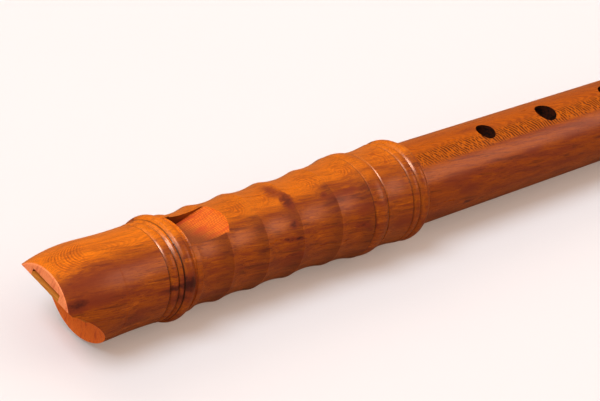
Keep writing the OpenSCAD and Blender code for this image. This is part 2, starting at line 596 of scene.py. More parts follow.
HEAD_KNOTS = (
    Knot(2.1, 50, 3.4, 1.5, 0.98),
    Knot(7.5, 50, 7.0, 1.7, 0.5),
    Knot(8.0, 29, 14.0, 2.6, 0.42),
    Knot(22.0, 27, 9.0, 1.3, 0.3),
    Knot(35.9, 66, 2.2, 2.2, 1.2),
    Knot(31.5, 67, 4.5, 0.8, 0.95),
    Knot(34.6, 81, 4.0, 1.2, 0.8),
    Knot(43.0, 66, 8.0, 0.28, 0.55),
    Knot(73.2, 9, 1.3, 2.7, 0.78),
    Knot(71.9, -12, 1.9, 3.0, 0.45),
    Knot(71.8, 40, 1.3, 0.9, 0.85),
    Knot(69.0, 55.5, 2.6, 0.45, 1.0),
    Knot(72.0, 58.5, 2.2, 0.4, 1.0),
    Knot(71.5, 78, 3.2, 0.5, 0.75),
    Knot(79.0, 77, 6.0, 0.35, 0.5),
    Knot(85.0, 18, 1.1, 0.7, 0.7),
    Knot(92.0, 22.5, 7.0, 0.7, 0.45),
    Knot(98.6, 72, 2.0, 0.75, 1.0),
    Knot(95.2, 68, 2.6, 0.7, 0.85),
    Knot(95.8, 49, 3.0, 1.6, 0.4),
    Knot(109.0, 81, 4.5, 1.6, 0.5),
    Knot(118.0, 88, 2.0, 1.6, 0.7),
)

BODY_KNOTS = (
    Knot(136.8, 94, 1.8, 0.4, 1.0),
    Knot(131.0, 53, 6.0, 2.0, 0.4),
    Knot(135.8, 71, 4.0, 1.5, 0.5),
    Knot(124.0, 96, 6.0, 0.8, 0.4),
    Knot(161.0, 47, 4.0, 0.7, 0.5),
    Knot(178.0, 49, 5.0, 0.6, 0.4),
    Knot(176.0, 82, 6.0, 0.6, 0.35),
    Knot(214.0, 60, 7.0, 1.0, 0.5),
    Knot(247.0, -70, 5.0, 0.9, 0.5),
    Knot(188.0, -110, 6.0, 1.0, 0.5),
    Knot(281.0, 88, 4.0, 1.2, 0.5),
)

HEAD_GROOVES = (30.17, 33.1, 34.5, 98.28, 103.28, 112.48, 115.08)
BODY_GROOVES = (311.6, 316.8)
HEAD_CRESTS = (50.8, 62.5, 74.3, 87.5, 98.2)
CREST_R = (11.86, 11.92, 11.98, 12.14, 12.97)
WAVE_BOW = (-0.57, -0.57, -0.57, -0.68, -0.5)
HEAD_EYES = (
    (56.6, 5.0, 0.92),
    (67.6, 3.0, 0.9),
    (82.2, 5.2, 0.95),
    (94.2, 3.9, 0.92),
    (107.5, 4.6, 0.9),
)


@dataclass(frozen=True)
class Fruitwood:
    """Oiled fruitwood, polished on the lathe.

    Attributes:
        name: Name of the material.
        billet: Which billet it is cut from.
        knots: Its dark marks.
        grooves: Where painted shade darkens the turned grooves, from the tip in mm.
        crests: Where the wave crests are, from the tip in mm; painted shade darkens their tip side.
        eyes: Ovals of growth lines on the top, each as (middle, reach, spacing) in mm.
        bright: Colour of the bright band on top, partly the wood's own, partly painted light.
        bright_deep: Colour of the growth lines in the bright band.
        brown: Colour of the flanks.
        lit_band_turn: Middle of the bright band, partly painted light, from the top toward the near
            side, in degrees.
        lit_band_half: Half width of that band in degrees.
        layer: Thickness of a growth layer in mm.
        line: Strength of the growth lines.
        fleck: Strength of the cross fleck beside the finger holes.
        deep: Colour of the fleck.
        sheen: Colour between the bars of the fleck.
        red: Colour of the red streaks.
        purple: Colour of the knots.
        groove_shade: Colour of the painted shade in the grooves.
        pin_pitch: Spacing of the hairpin lines at the beak in mm.
        bar_pitch: Spacing of the bars of the fleck in mm.
    """

    name: str
    billet: Wood
    knots: tuple
    grooves: tuple
    bright: Rgb
    bright_deep: Rgb
    brown: Rgb
    crests: tuple = ()
    eyes: tuple = ()
    lit_band_turn: float = -24.0
    lit_band_half: float = 32.0
    layer: float = 0.1
    line: float = 0.8
    fleck: float = 0.0
    deep: Rgb = tone(88, 30, 0)
    sheen: Rgb = tone(216, 106, 1)
    red: Rgb = tone(128, 48, 24)
    purple: Rgb = tone(66, 24, 20)
    groove_shade: Rgb = tone(32, 11, 6)
    pin_pitch: float = 0.88
    bar_pitch: float = 1.0

    def shift(self) -> Rgb:
        """Where in the pattern this billet lies, in mm."""
        return (0, 0, 0) if self.billet is Wood.HEAD else (311.0, 57.0, -23.0)

    def knot_mask(self, b: Bench, place: Socket) -> Socket:
        """How dark the knots are at each place.

        Args:
            b: The bench.
            place: Place in mm, untouched by the billet's shift.

        Returns:
            0 to 1.
        """
        wander = b.add("ShaderNodeTexNoise", noise_dimensions="3D")
        b.feed(wander.inputs["Vector"], b.vec("MULTIPLY", place, (0.5, 1.1, 1.1)))
        wander.inputs["Scale"].default_value = 1.0
        wander.inputs["Detail"].default_value = 5.0
        wander.inputs["Roughness"].default_value = 0.68
        off = b.vec("MULTIPLY_ADD", wander.outputs["Color"], (5.0, 2.4, 2.4), (-2.5, -1.2, -1.2))
        at = b.vec("ADD", place, off)
        face_r = 11.8 if self.billet is Wood.HEAD else 10.5
        total: object = 0.0
        for k in self.knots:
            a = math.radians(k.turn)
            centre = (-k.t, face_r * math.sin(a), -face_r * math.cos(a))
            size = (1 / k.length, 1 / k.width, 1 / k.width)
            scaled = b.vec("MULTIPLY", b.vec("ADD", at, centre), size)
            node = b.add("ShaderNodeVectorMath", operation="LENGTH")
            b.feed(node.inputs[0], scaled)
            mark = b.ease(node.outputs["Value"], 1.9, 0.2, 0.0, k.depth)
            total = b.most(total, mark)
        return total

    def groove_shade_mask(self, b: Bench, x: Socket) -> Socket:
        """How strong the painted shade in the grooves is.

        Args:
            b: The bench.
            x: Distance from the tip in mm.

        Returns:
            0 to 1.
        """
        total: object = 0.0
        for t in self.grooves:
            off = b.sum("ABSOLUTE", b.sum("SUBTRACT", x, t))
            total = b.most(total, b.ease(off, 0.32, 0.1))
        return total

    def crest_shade_mask(self, b: Bench, x: Socket) -> Socket:
        """How dark the painted shade before each crest is.

        Args:
            b: The bench.
            x: Distance from the tip in mm.

        Returns:
            0 to 1.
        """
        total: object = 0.0
        for t in self.crests:
            rise = b.ease(x, t - 6.0, t - 1.0)
            total = b.most(total, b.times(rise, b.ease(x, t + 0.15, t - 0.25)))
        return total

    def eye_mask(self, b: Bench, x: Socket, y: Socket, drift: Socket) -> Socket:
        """How dark the ovals of growth lines on the top are, and the hairpins at the beak.

        Args:
            b: The bench.
            x: Distance from the tip in mm.
            y: Distance to the far side of the axis in mm.
            drift: A slow noise that shifts the lines along the axis.

        Returns:
            0 to 1.
        """
        side = b.sum("SUBTRACT", y, 1.1)
        square = b.times(side, side)
        moved = b.line(drift, 1.4, x)
        curl = b.times(b.middled(b.noise(b.place(), (3.0, 2.6, 2.6), 1, 0.5, (4, 1, 9))), 2.6)
        pin = b.line(square, -0.2, moved)
        lines = b.ripple(pin, self.pin_pitch, -0.4, 0.6)
        span = b.times(b.ease(x, 1.0, 3.5), b.ease(pin, 13.0, 9.0))
        total: object = b.times(lines, span)
        for middle, reach, spacing in self.eyes:
            along = b.sum("SUBTRACT", moved, middle + 0.7)
            out = b.sum("SQRT", b.line(along, along, b.times(square, 0.8)))
            wavy = b.sum("ADD", out, curl)
            lines = b.ripple(wavy, spacing, -0.4, 0.6)
            span = b.times(b.ease(out, reach, reach - 1.2), b.ease(along, -2.2, 1.0, 0.3, 1.0))
            total = b.most(total, b.times(lines, span))
        return total

    def material(self) -> bpy.types.Material:
        """The polished outer face.

        Returns:
            The material.
        """
        b = Bench(self.name)
        real = b.place()
        x, y, z = b.split(real)
        p = b.vec("ADD", real, self.shift())
        skew = b.add("ShaderNodeCombineXYZ")
        b.feed(skew.inputs[1], b.times(x, 0.1))
        b.feed(skew.inputs[2], b.times(x, 0.05))
        grain = b.vec("ADD", p, skew.outputs[0])
        flow = b.noise(p, (26, 9, 9), 2, 0.5)
        streak = b.noise(grain, (40, 2.6, 2.6), 4, 0.6)
        mottle = b.noise(grain, (7, 1.1, 1.1), 3, 0.6, (3, 8, 1))
        thin = b.noise(grain, (9, 0.34, 0.34), 3, 0.62, (7, 3, 1))

        # the bright band on top, by the angle round the axis: partly the wood's figure, partly painted
        # light on the side that faces the lamps
        away = b.sum("ARCTAN2", b.times(y, -1.0), z)
        wave = b.line(b.middled(flow), 0.7, -math.radians(self.lit_band_turn))
        wave = b.line(b.middled(mottle), 0.3, wave)
        from_mid = b.sum("ABSOLUTE", b.sum("ADD", away, wave))
        half = math.radians(self.lit_band_half)
        lit_band = b.ease(from_mid, half + 0.17, half - 0.17)

        # fine growth layers, cut slantwise by the turned surface
        warp = b.noise(p, (16, 7, 7), 2, 0.45, (2, 9, 4))
        ruffle = b.noise(p, (1.3, 1.6, 1.6), 2, 0.5, (5, 1, 8))
        lift = b.line(b.middled(warp), 0.5, z)
        lift = b.line(b.middled(ruffle), 0.045, lift)
        lift = b.line(y, 0.09, lift)
        lift = b.line(x, -0.03, lift)
        lines = b.ripple(lift, self.layer, -0.45, 0.55)
        patch = b.noise(p, (9, 4, 4), 1, 0.5, (1, 6, 2))
        lines = b.times(lines, b.ease(patch, 0.34, 0.58, 0.4, 1.0))
        if self.eyes:
            across = b.times(b.ease(y, -3.2, -1.0), b.ease(y, 6.8, 4.0))
            broken = b.ease(b.noise(p, (1.1, 1.3, 1.3), 2, 0.6, (8, 2, 6)), 0.34, 0.56, 0.45, 1.0)
            eyes = b.times(self.eye_mask(b, x, y, warp), b.times(across, broken))
            lines = b.most(b.times(lines, 0.4), eyes)

        b.colour = self.brown
        b.coat(self.bright, lit_band)
        b.coat(self.bright_deep, lines, b.line(lit_band, self.line - 0.15, 0.15))
        b.coat(self.red, b.ease(streak, 0.5, 0.66), b.line(lit_band, -0.5, 0.8))
        b.coat(self.bright, b.ease(mottle, 0.56, 0.72), b.line(lit_band, -0.1, 0.3))
        shy = b.line(lit_band, -0.55, 1.0)
        b.coat(self.red, b.ease(mottle, 0.46, 0.3, 0.0, 0.5), shy)
        b.coat(self.red, b.ease(thin, 0.48, 0.62, 0.0, 0.7), shy)
        dark = b.noise(grain, (16, 0.9, 0.9), 3, 0.65, (1, 4, 7))
        b.coat(self.purple, b.ease(dark, 0.54, 0.7, 0.0, 0.5), shy)
        if self.eyes:
            b.coat(self.brown, b.ease(x, 36.0, 48.0, 0.0, 0.22), lit_band)
        if self.crests:
            # painted shade: darker on the tip side of each wave crest
            crest_shade = b.times(self.crest_shade_mask(b, x), b.line(lit_band, -0.3, 0.38))
            b.coat(self.purple, crest_shade, b.ease(patch, 0.25, 0.6, 0.6, 1.0))
        if self.fleck:
            turn = b.times(away, TO_DEGREES)
            zone = b.times(b.ease(turn, -4.0, 6.0), b.ease(turn, 25.0, 19.0))
            swirl = b.noise(p, (3.6, 2.4, 2.4), 2, 0.5, (9, 2, 2))
            slant = b.line(y, 0.6, b.line(swirl, 2.0, x))
            bars = b.ripple(slant, self.bar_pitch, -0.35, 0.35)
            dash = b.ease(b.noise(p, (0.9, 1.5, 1.5), 1, 0.6, (6, 6, 1)), 0.38, 0.48)
            where = b.times(zone, b.ease(flow, 0.3, 0.55, 0.55, 1.0))
            marks = b.times(bars, dash)
            b.coat(self.deep, zone, 0.3)
            gaps = b.sum("SUBTRACT", 1.0, marks)
            b.coat(self.sheen, gaps, b.times(where, 0.7))
            b.coat(self.deep, marks, b.times(where, self.fleck))

        # short open pores along the grain
        pores = b.noise(grain, (0.9, 0.11, 0.11), 1, 0.5, (3, 3, 3))
        pore = b.ease(pores, 0.58, 0.7)
        b.coat(self.purple, pore, b.line(lit_band, -0.18, 0.46))
        knots = self.knot_mask(b, real)
        b.coat(self.red, b.ease(knots, 0.02, 0.5, 0.0, 0.85))
        b.coat(self.purple, b.ease(knots, 0.42, 1.05))
        # painted shade: the turned grooves drawn dark, less so on the top band
        groove_shade_amount = self.groove_shade_mask(b, x)
        b.coat(self.groove_shade, groove_shade_amount, b.line(lit_band, -0.25, 0.95))

        grit = b.noise(p, (0.3, 0.42, 0.42), 2, 0.6, (4, 4, 4))
        height = b.line(thin, 0.4, b.times(grit, 0.8))
        height = b.sum("SUBTRACT", height, b.times(pore, 0.4))
        b.bump(height, 0.011)
        rough = b.line(streak, 0.16, 0.22)
        rough = b.line(pore, 0.2, rough)
        return b.finish(rough, IOR=1.42, Specular_Tint=(1.0, 0.64, 0.48, 1.0))


@dataclass(frozen=True)
class CutWood:
    """The same wood where a knife or file has cut it, matt and brighter.

    Attributes:
        name: Name of the material.
        fresh: Colour of the cut.
        line: Colour of the growth lines.
        shade: Colour of the redder parts.
        weave: Strength of the fine crossed lines.
        roof_shade: Strength of the painted shadow of the window's roof on the cut wood next to the
            window.
        roof_shadow_colour: Colour of that painted shadow.
        ring_pitch: Spacing of the growth lines in mm.
        ray_pitch: Spacing of the rays in mm.
    """

    name: str = "cut_fruitwood"
    fresh: Rgb = tone(250, 126, 22)
    line: Rgb = tone(190, 68, 8)
    shade: Rgb = tone(206, 64, 20)
    weave: float = 0.45
    roof_shade: float = 0.9
    roof_shadow_colour: Rgb = tone(122, 54, 16)
    ring_pitch: float = 0.24
    ray_pitch: float = 0.5

    def material(self) -> bpy.types.Material:
        """The cut face.

        Returns:
            The material.
        """
        b = Bench(self.name)
        p = b.place()
        x, y, z = b.split(p)
        warp = b.noise(p, (9, 5, 5), 2, 0.5, (2, 9, 4))
        bend = b.times(b.middled(warp), 1.2)
        rings = b.ripple(b.sum("ADD", z, bend), self.ring_pitch, -0.8, 0.8)
        rays = b.ripple(b.sum("ADD", y, bend), self.ray_pitch, -0.6, 0.9)
        grit = b.noise(p, (1.2, 0.3, 0.8), 3, 0.6)
        streak = b.noise(p, (14, 1.2, 5), 3, 0.6)
        b.colour = self.fresh
        b.coat(self.line, rings, self.weave)
        b.coat(self.line, rays, self.weave)
        b.coat(self.line, b.ease(grit, 0.42, 0.66, 0.0, 0.5))
        b.coat(self.shade, b.ease(streak, 0.5, 0.66, 0.0, 0.75))
        # painted shadow: the window's roof shades the lower end of the ramp, drawn in umber there
        if self.roof_shade:
            slant = b.line(y, 0.55, b.line(streak, 3.0, x))
            roof_shadow = b.times(b.ease(slant, 51.5, 45.5), b.ease(x, 30.0, 36.0))
            b.coat(self.roof_shadow_colour, roof_shadow, self.roof_shade)
        b.bump(grit, 0.02)
        return b.finish(
            b.line(grit, 0.2, 0.5), IOR=1.3, Specular_Tint=(1.0, 0.75, 0.6, 1.0)
        )


@dataclass(frozen=True)
class OiledBore:
    """Dark oiled wood in the bore and on the walls of the holes, much of it drawn near black as painted
    shade.
    """

    name: str = "oiled_bore"
    dark: Rgb = tone(66, 24, 8)
    shade_black: Rgb = tone(22, 8, 4)

    def material(self) -> bpy.types.Material:
        """The oiled inside, with its painted shade.

        Returns:
            The material.
        """
        b = Bench(self.name)
        p = b.place()
        streak = b.noise(p, (9, 0.7, 0.7), 3, 0.6)
        b.colour = self.dark
        # painted shade: near-black patches stand in for the shade inside bore and holes
        b.coat(self.shade_black, b.ease(streak, 0.4, 0.65))
        b.bump(streak, 0.02)
        return b.finish(b.line(streak, 0.2, 0.4), IOR=1.3)


@dataclass(frozen=True)
class Cedar:
    """Bare cedar with straight grain, a little browner on the windway's floor as painted shade under
    its roof.

    Attributes:
        name: Name of the material.
        early: Colour of the early wood.
        late: Colour of the late wood.
        roof_shade: Colour of the painted shade on the windway's floor.
    """

    name: str = "cedar"
    early: Rgb = tone(206, 128, 46)
    late: Rgb = tone(176, 96, 26)
    roof_shade: Rgb = tone(206, 122, 38)

    def material(self) -> bpy.types.Material:
        """The bare wood.

        Returns:
            The material.
        """
        b = Bench(self.name)
        p = b.place()
        y, z = b.split(p)[1:]
        warp = b.noise(p, (30, 5, 5), 2, 0.5)
        lift = b.line(b.middled(warp), 2.0, b.line(y, 0.25, z))
        ring = b.sum("FRACT", b.sum("DIVIDE", lift, 0.9))
        late = b.times(b.ease(ring, 0.3, 0.9), b.ease(ring, 1.0, 0.94))
        fibre = b.noise(p, (8, 0.3, 0.14), 2, 0.6)
        b.colour = self.early
        b.coat(self.late, late, 0.6)
        b.coat(self.late, b.ease(fibre, 0.46, 0.72, 0.0, 0.4))
        up = b.split(b.add("ShaderNodeNewGeometry").outputs["True Normal"])[2]
        # painted shade: the windway's floor, under the roof, drawn browner
        floor = b.times(b.ease(up, 0.8, 0.95), b.ease(z, 5.6, 6.0))
        b.coat(self.roof_shade, floor, 0.9)
        b.bump(b.line(fibre, 0.8, late), 0.015)
        return b.finish(
            b.line(fibre, 0.2, 0.55), IOR=1.3, Specular_Tint=(1.0, 0.8, 0.6, 1.0)
        )


@dataclass(frozen=True)
class Cork:
    """Waxed sheet cork with dark lenticels."""

    name: str = "waxed_cork"
    pale: Rgb = tone(198, 152, 102)
    tan: Rgb = tone(160, 112, 66)
    dark: Rgb = tone(74, 44, 26)

    def material(self) -> bpy.types.Material:
        """The cork.

        Returns:
            The material.
        """
        b = Bench(self.name)
        p = b.place()
        cell = b.add("ShaderNodeTexVoronoi", feature="F1")
        b.feed(cell.inputs["Vector"], b.vec("MULTIPLY", p, (1.3, 1.3, 1.3)))
        grains = b.noise(p, (0.35, 0.35, 0.35), 3, 0.65)
        patch = b.noise(p, (2.2, 2.2, 2.2), 2, 0.5)
        fleck = b.ease(b.noise(p, (1.2, 0.5, 0.5), 2, 0.6, (5, 5, 5)), 0.6, 0.7)
        b.colour = self.pale
        b.coat(self.tan, b.ease(patch, 0.35, 0.65))
        b.coat(self.tan, b.ease(cell.outputs["Distance"], 0.35, 0.75), 0.4)
        b.coat(self.dark, fleck)
        height = b.sum("SUBTRACT", grains, b.times(fleck, 0.8))
        b.bump(height, 0.05)
        return b.finish(b.line(grains, 0.2, 0.5))


@dataclass(frozen=True)
class Paper:
    """A plain pale sheet to lie on, which throws back only part of its light on the wood.

    Attributes:
        name: Name of the material.
        white: Colour of the sheet.
        cloud: Colour of its faint clouds.
        thrown: Colour that it throws on other pieces.
        mirrored: Colour that polished pieces mirror.
        glow: Colour of a glow painted on the sheet for the camera alone, which lightens the sheet and
            the shadows on it.
    """

    name: str = "studio_sheet"
    white: Rgb = (0.69, 0.675, 0.69)
    cloud: Rgb = (0.68, 0.664, 0.677)
    thrown: Rgb = (0.50, 0.42, 0.36)
    mirrored: Rgb = (0.26, 0.16, 0.09)
    glow: Rgb = (1.0, 0.8, 0.67)

    def material(self) -> bpy.types.Material:
        """The sheet.

        Returns:
            The material.
        """
        b = Bench(self.name)
        p = b.place()
        clouds = b.noise(p, (220, 220, 220), 2, 0.5)
        sheet = b.mix(b.ease(clouds, 0.3, 0.7), self.white, self.cloud)
        path = b.add("ShaderNodeLightPath").outputs
        thrown = b.mix(path["Is Glossy Ray"], self.thrown, self.mirrored)
        # painted light: the sheet glows for the camera alone, lifting it and the shadows on it
        b.feed(b.shader.inputs["Emission Color"], self.glow)
        b.feed(b.shader.inputs["Emission Strength"], b.times(path["Is Camera Ray"], 0.21))
        b.colour = b.mix(path["Is Camera Ray"], thrown, sheet)
        return b.finish(0.9, Specular_IOR_Level=0.0)


# ---------- the pieces ----------


@dataclass
class Voicing:
    """Windway, window, ramp and the hollow under the beak, as cutting tools.

    Attributes:
        width: Width of windway, window and ramp.
        slot_h: Height of the windway.
        floor_tip: Windway floor over the axis at the tip.
        floor_exit: Windway floor over the axis at the exit.
        length: From the tip to the windway's exit.
        cut_up: Open length of the window.
        ramp_turn: Steepness of the ramp in degrees.
        edge_z: Height of the ramp's edge.
        relief: Length of the relief under that edge.
        scoop_r: Radius of the hollow under the beak.
        scoop_t: Its centre in front of the tip.
        scoop_drop: Its centre below the axis.
        lip_z: Lower edge of the beak's end face over the axis.
    """

    width: float = 9.8
    slot_h: float = 0.9
    floor_tip: float = 7.0
    floor_exit: float = 6.45
    length: float = 39.2
    cut_up: float = 4.2
    ramp_turn: float = 23.4
    edge_z: float = 6.95
    relief: float = 8.0
    scoop_r: float = 18.04
    scoop_t: float = -3.35
    scoop_drop: float = 12.53
    lip_z: float = 5.95

    @property
    def edge_t(self) -> float:
        """From the tip to the ramp's edge."""
        return self.length + self.cut_up

    def slot(self) -> Piece:
        """The one tool that opens windway, window and ramp.

        Returns:
            The cutting solid.
        """
        run = 16.0
        rise = run * math.tan(math.radians(self.ramp_turn))
        roof_tip, roof_exit = self.floor_tip + self.slot_h, self.floor_exit + self.slot_h
        side = [
            (-1, 4),
            (self.edge_t + self.relief, 4),
            (self.edge_t + self.relief, 5.6),
            (self.edge_t, self.edge_z),
            (self.edge_t + run, self.edge_z + rise),
            (self.edge_t + run, 40),
            (self.length, 40),
            (self.length, roof_exit + 0.8),
            (self.length - 0.8, roof_exit),
            (-1, roof_tip + 0.02),
        ]
        return pushed("voicing_tool", side, self.width)

    def above_floor(self) -> Piece:
        """What is planed off the block to leave the windway's floor.

        Returns:
            The cutting solid.
        """
        side = [
            (-1, self.floor_tip + 0.014),
            (self.length - 1, self.floor_exit + 0.014),
            (self.length + 1, self.floor_exit - 2),
            (self.length + 1, 40),
            (-1, 40),
        ]
        return pushed("floor_tool", side, 60)

    def scoop(self) -> Piece:
        """The hollow under the beak, with the small bevel at the lip.

        Returns:
            The cutting solid.
        """
        lay_aside()
        bpy.ops.mesh.primitive_cylinder_add(
            vertices=360,
            radius=self.scoop_r * MM,
            depth=60 * MM,
            location=point(self.scoop_t, 0, -self.scoop_drop),
            rotation=(math.pi / 2, 0, 0),
        )
        tool = settled(bpy.context.object)
        tool.name = "scoop_tool"
        lip = [(-1, self.lip_z + 0.95), (0, self.lip_z), (1.05, 5), (1.05, 0), (-1, 0)]
        joined_by(tool, pushed("lip_tool", lip, 58), "UNION")
        return tool


@dataclass
class Head:
    """The head joint: mouthpiece, rings, five waves, bulge, barrel and socket in one piece.

    Attributes:
        bore_r: Radius of the bore.
        socket_r: Radius of the socket.
        socket_l: Depth of the socket.
        voicing: The tools that cut windway, window, ramp and beak.
    """

    bore_r: float = 6.9
    socket_r: float = 9.1
    socket_l: float = 22.6
    voicing: Voicing = field(default_factory=Voicing)
    wood: Fruitwood = Fruitwood(
        "head_fruitwood",
        Wood.HEAD,
        HEAD_KNOTS,
        HEAD_GROOVES,
        tone(240, 124, 12),
        tone(176, 70, 3),
        tone(164, 76, 12),
        crests=HEAD_CRESTS,
        eyes=HEAD_EYES,
    )
    cut: CutWood = CutWood()
    end: CutWood = CutWood(
        "end_grain", tone(250, 146, 90), tone(236, 120, 66), tone(216, 98, 58), weave=0.15
    )
    hollow: CutWood = CutWood(
        "beak_hollow", tone(255, 134, 46), tone(232, 92, 30), tone(214, 82, 42), weave=0.25, roof_shade=0.0
    )
    # painted shade: the window's side walls take a darker copy of the cut wood
    shaded_wall: CutWood = CutWood(
        "window_wall_shaded", tone(156, 80, 26), tone(122, 54, 14), tone(98, 40, 10), weave=0.3
    )
    bore: OiledBore = OiledBore()

    def outside(self) -> Template:
        """The outline from the tip to the head's end.

        Returns:
            The template.
        """
        full_t, full_r, tip_r, join_t, rings_t = 13.0, 12.23, 10.4, 16.64, 30.1
        radius = (full_t**2 + (full_r - tip_r) ** 2) / (2 * (full_r - tip_r))
        template = Template([(0.0, tip_r - 0.9), (0.0, tip_r - 0.2), (0.2, tip_r + 0.03)])
        steps = 60
        for i in range(1, steps + 1):
            t = 0.2 + (join_t - 0.2) * i / steps
            template.to((t, full_r - radius + math.sqrt(radius**2 - (t - full_t) ** 2)))
        waist_t, waist_r, curve = 26.0, 11.84, 150.0
        for i in range(1, steps + 1):
            t = join_t + (rings_t - join_t) * i / steps
            drop = math.sqrt(curve**2 - (t - waist_t) ** 2)
            template.to((t, min(full_r, waist_r + curve - drop)))
        template.to((rings_t, 11.9)).vee(30.75, 11.65, 11.19).bowed(33.0, 11.75, 0.33)
        template.vee(33.65, 11.95, 11.45).bowed(34.4, 12.1, 0.12)
        template.vee(35.1, 12.65, 11.98).bowed(37.3, 12.65, 0.33).bowed(39.0, 11.75, -0.3)
        template.to((39.05, 11.97), (40.65, 11.97), (40.7, 11.7))
        for crest, r, bow in zip(HEAD_CRESTS, CREST_R, WAVE_BOW):
            template.bowed(crest, r, bow)
        template.vee(98.85, 12.7, 12.4)
        template.bowed(103.2, 12.7, 0.4).vee(103.85, 12.55, 12.1)
        template.bowed(112.4, 12.65, -0.3).vee(113.05, 12.6, 12.2)
        template.bowed(115.0, 12.6, 0.22).vee(115.65, 12.65, 12.15)
        template.bowed(118.2, 12.65, 0.45)
        return template.to((118.25, 12.35), (HEAD_L, 12.35), (HEAD_L, 10.4))

    def build(self) -> Piece:
        """The turned, bored and voiced head.

        Returns:
            The piece.
        """
        outline = self.outside().outline()
        socket_t = HEAD_L - self.socket_l
        inside = [
            (HEAD_L, self.socket_r + 0.35),
            (HEAD_L - 0.35, self.socket_r),
            (socket_t, self.socket_r),
            (socket_t, self.bore_r),
            (0.0, self.bore_r),
        ]
        outline += [Vector(s) for s in inside]
        head = spin("head_wood", outline, SIDES)
        joined_by(head, self.voicing.slot(), "DIFFERENCE")
        joined_by(head, self.voicing.scoop(), "DIFFERENCE")
        return head

    def finish_at(self, face: bpy.types.MeshPolygon) -> int:
        """Which finish a face takes: 0 turned, 1 cut, 2 end grain, 3 window wall in painted shade, 4
        bore with painted shade, 5 hollow.

        Args:
            face: A face of the head.

        Returns:
            Its place in the list of materials.
        """
        t, y, z = seat(face)
        v = self.voicing
        around = math.hypot(y, z)
        end_t, lip_t, scoop_end, window_end, window_z = 0.24, 1.2, 16, 60, 4
        if t < end_t and z > v.lip_z:
            return 2
        if t < scoop_end and math.hypot(t - v.scoop_t, z + v.scoop_drop) < v.scoop_r + 0.02:
            return 5
        if t < lip_t and z < v.lip_z + 0.1 and abs(face.normal.y) < 0.05:
            return 5
        if z > window_z and t < window_end and abs(y) < v.width / 2 + 0.01:
            if abs(face.normal.y) > 0.99:
                return 3
            if around < 11.1 and abs(face.normal.y) < 0.01:
                return 1
        return 4 if around < self.socket_r + 0.36 else 0

    def dress(self, head: Piece) -> None:
        """Polished wood on the turned faces; cut wood, end grain, cut wood in painted shade on the
        window's walls and oiled wood with painted shade on the others.

        Args:
            head: The piece.
        """
        dressed(head, (self.wood, self.cut, self.end, self.shaded_wall, self.bore, self.hollow))
        for face in head.data.polygons:
            face.material_index = self.finish_at(face)


@dataclass
class Block:
    """The cedar block that floors the windway.

    Attributes:
        radius: Its radius.
        width: Width of its flat key under the windway.
        voicing: The tools it shares with the head.
    """

    radius: float = 6.88
    width: float = 9.76
    voicing: Voicing = field(default_factory=Voicing)
    cedar: Cedar = Cedar()

    def build(self) -> Piece:
        """The planed and scooped block.

        Returns:
            The piece.
        """
        v = self.voicing
        lay_aside()
        bpy.ops.mesh.primitive_cylinder_add(
            vertices=160,
            radius=self.radius * MM,
            depth=v.length * MM,
            location=point(v.length / 2, 0, 0),
            rotation=(0, math.pi / 2, 0),
        )
        block = settled(bpy.context.object)
        block.name = "cedar_block"
        key = [(0, 0), (v.length, 0), (v.length, 8), (0, 8)]
        joined_by(block, pushed("key", key, self.width), "UNION")
        joined_by(block, v.above_floor(), "DIFFERENCE")
        joined_by(block, v.scoop(), "DIFFERENCE")
        return block

    def dress(self, block: Piece) -> None:
        """Bare cedar all over."""
        dressed(block, (self.cedar,), angle=30)


@dataclass
class TenonCork:
    """The strip of sheet cork wound in the tenon's groove.

    Attributes:
        start: From the tip to its first edge.
        length: Its width along the tenon.
        outer: Outer radius.
        inner: Inner radius.
    """

    start: float = 100.02
    length: float = 15.96
    outer: float = 9.08
    inner: float = 8.06
    cork: Cork = Cork()

    def build(self) -> Piece:
        """The lapping, with its two edges rubbed round.

        Returns:
            The piece.
        """
        end = self.start + self.length
        template = Template([(self.start, self.inner), (self.start, self.outer - 0.3)], ease=0.1)
        template.to((self.start + 0.35, self.outer), (end - 0.35, self.outer))
        template.to((end, self.outer - 0.3), (end, self.inner))
        return spin("tenon_lapping", template.outline(), 128)

    def dress(self, lapping: Piece) -> None:
        """Waxed cork all over."""
        dressed(lapping, (self.cork,))


